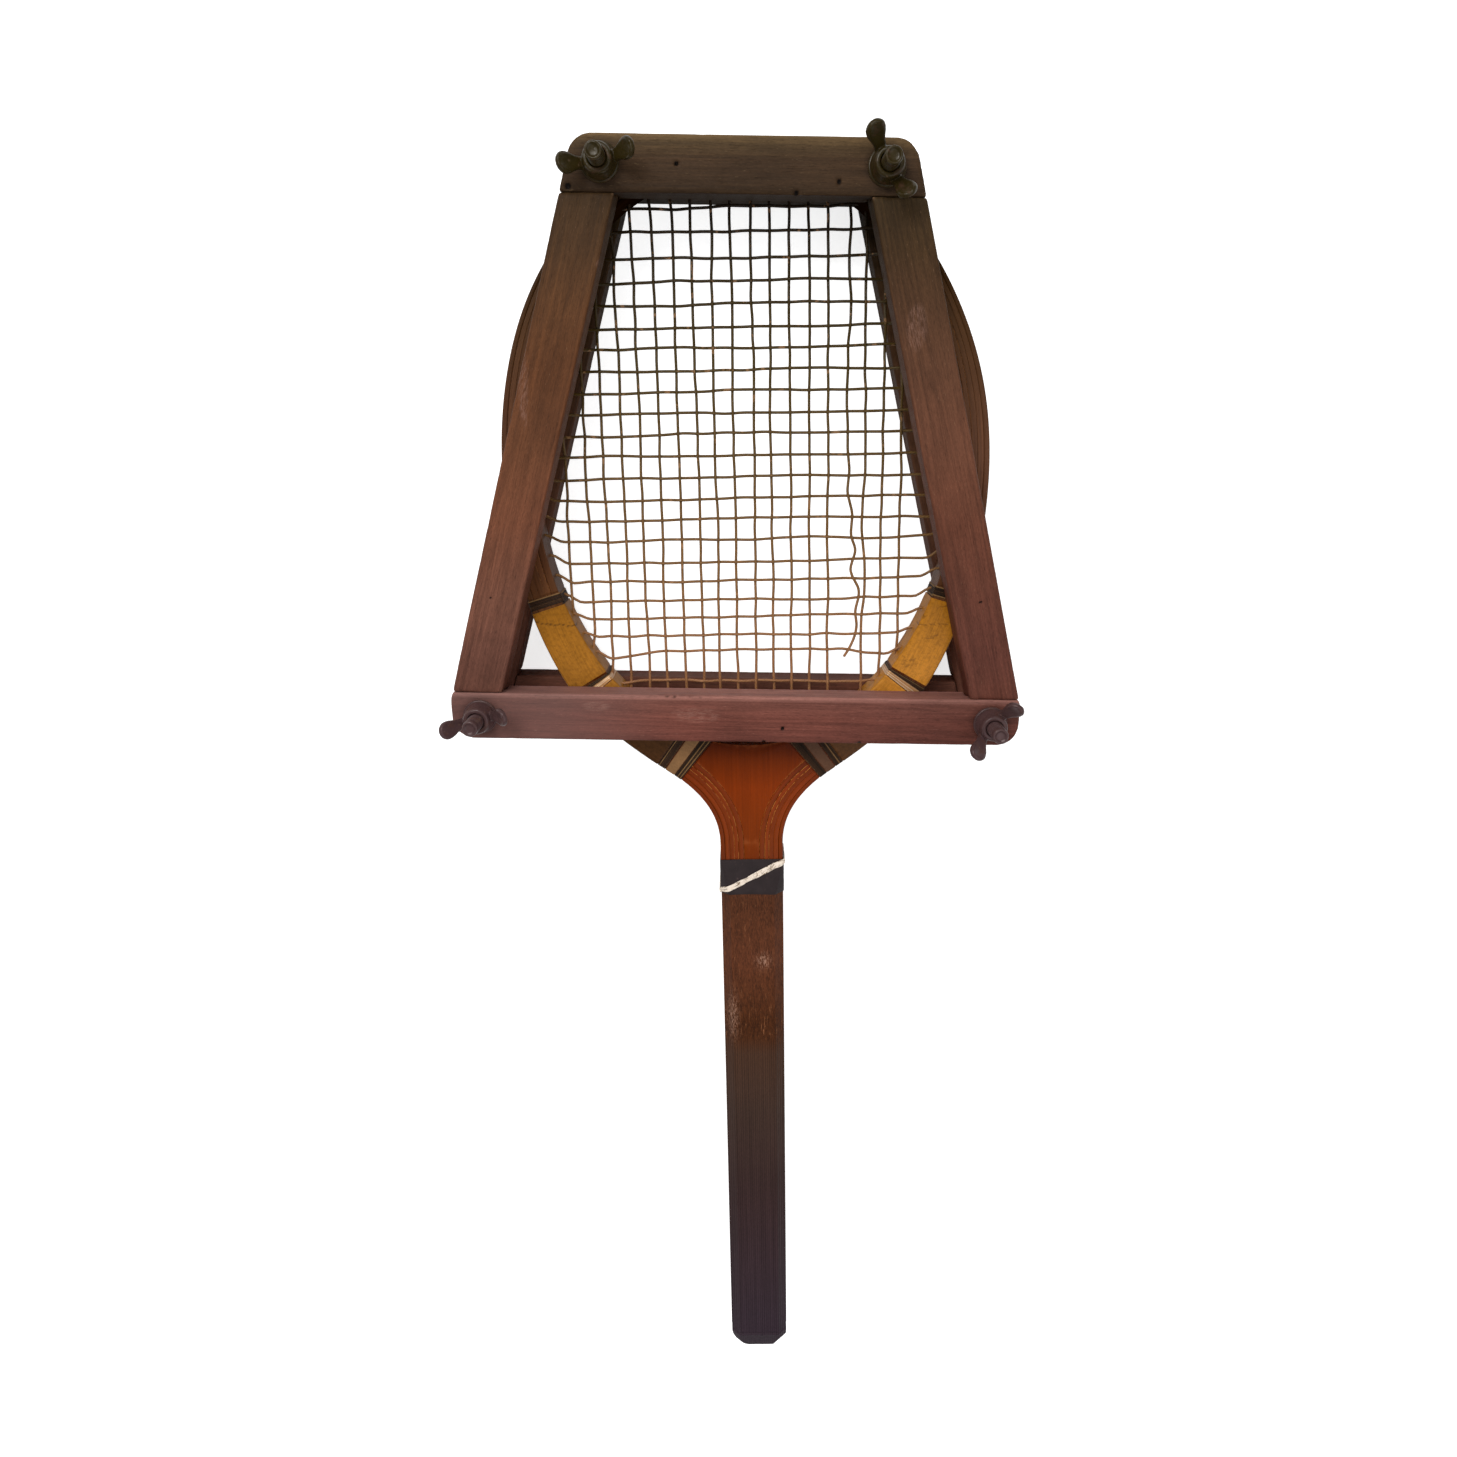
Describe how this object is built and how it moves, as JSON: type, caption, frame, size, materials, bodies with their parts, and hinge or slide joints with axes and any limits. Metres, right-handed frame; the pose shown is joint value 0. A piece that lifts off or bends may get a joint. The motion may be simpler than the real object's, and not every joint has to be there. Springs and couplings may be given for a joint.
{
  "type": "wooden tennis racket in press",
  "caption": "Vintage wooden lawn racket with an oval strung head and a straight handle, clamped flat between two trapezoidal wooden press frames by bolts and wing nuts.",
  "frame": {"origin": "centre of the rear face of the back frame's bottom rail, on the plane the press lies on", "axes": "+Z out of the front face, towards the wing nuts; +Y from the handle towards the head; +X to the right seen from the front"},
  "size_m": [0.2895, 0.6805, 0.079],
  "materials": {
    "press_wood": "bare, rubbed smooth, slightly dusty",
    "press_wood_dark": "bare, darkened",
    "brad_steel": "rusted heads",
    "bronzed_iron": "dark bronzed, worn to a shine on the edges",
    "bow_wood": "old varnish",
    "wedge_wood": "gloss varnish",
    "handle_wood": "combed and handled, satin",
    "neck_tape": "adhesive cloth tape",
    "tie_strap": "worn, cracked",
    "amber_wrap": "amber lacquered sheet, gloss",
    "copper_wire": "fine wire, bright",
    "pale_strip": "varnished thread",
    "dark_thread": "waxed thread",
    "string": "old varnished gut, speckled"
  },
  "bodies": {
    "back_frame": {"back_bottom_rail": "press_wood", "back_top_rail": "press_wood_dark", "back_left_stile": "press_wood", "back_right_stile": "press_wood", "back_lap_brads": "brad_steel", "carriage_bolts": "bronzed_iron"},
    "front_frame": {"front_bottom_rail": "press_wood", "front_top_rail": "press_wood_dark", "front_left_stile": "press_wood", "front_right_stile": "press_wood", "front_lap_brads": "brad_steel", "washers": "bronzed_iron"},
    "nut_top_left": {"wing_nut_top_left": "bronzed_iron"},
    "nut_top_right": {"wing_nut_top_right": "bronzed_iron"},
    "nut_bottom_left": {"wing_nut_bottom_left": "bronzed_iron"},
    "nut_bottom_right": {"wing_nut_bottom_right": "bronzed_iron"},
    "racket": {"bow_outer_ply": "bow_wood", "bow_middle_ply": "bow_wood", "bow_inner_ply": "bow_wood", "throat_wedge": "wedge_wood", "handle_front_pallet": "handle_wood", "handle_back_pallet": "handle_wood", "butt_block": "handle_wood", "neck_tape": "neck_tape", "tie_strap": "tie_strap", "left_shoulder_wrap": "amber_wrap", "right_shoulder_wrap": "amber_wrap", "left_throat_wrap": "amber_wrap", "right_throat_wrap": "amber_wrap", "left_upper_binding": "dark_thread", "right_upper_binding": "dark_thread", "left_lower_binding": "dark_thread", "right_lower_binding": "dark_thread", "left_wire_binding": "copper_wire", "right_wire_binding": "copper_wire", "left_throat_bindings": "dark_thread", "right_throat_bindings": "dark_thread", "left_throat_strip": "pale_strip", "right_throat_strip": "pale_strip", "main_strings": "string", "broken_main_string": "string", "cross_strings": "string"}
  },
  "joints": [
    {"name": "press_open", "type": "slide", "parent": "back_frame", "child": "front_frame", "axis": [0, 0, 1], "range_m": [0, 0.01129]},
    {"name": "turn_nut_top_left", "type": "hinge", "parent": "front_frame", "child": "nut_top_left", "pos_m": [-0.0635, 0.255, 0.06], "axis": [0, 0, 1], "range_deg": [0, 2880]},
    {"name": "turn_nut_top_right", "type": "hinge", "parent": "front_frame", "child": "nut_top_right", "pos_m": [0.0635, 0.255, 0.06], "axis": [0, 0, 1], "range_deg": [0, 2880]},
    {"name": "turn_nut_bottom_left", "type": "hinge", "parent": "front_frame", "child": "nut_bottom_left", "pos_m": [-0.1286, 0, 0.06], "axis": [0, 0, 1], "range_deg": [0, 2880]},
    {"name": "turn_nut_bottom_right", "type": "hinge", "parent": "front_frame", "child": "nut_bottom_right", "pos_m": [0.1286, 0, 0.06], "axis": [0, 0, 1], "range_deg": [0, 2880]},
    {"name": "racket_slide", "type": "slide", "parent": "back_frame", "child": "racket", "axis": [0, -1, 0], "range_m": [0, 0.3]}
  ],
  "couplings": [
    {"joint": "turn_nut_top_left", "follows": "press_open", "rad_per_m": 4452.6},
    {"joint": "turn_nut_top_right", "follows": "press_open", "rad_per_m": 4452.6},
    {"joint": "turn_nut_bottom_left", "follows": "press_open", "rad_per_m": 4452.6},
    {"joint": "turn_nut_bottom_right", "follows": "press_open", "rad_per_m": 4452.6}
  ]
}
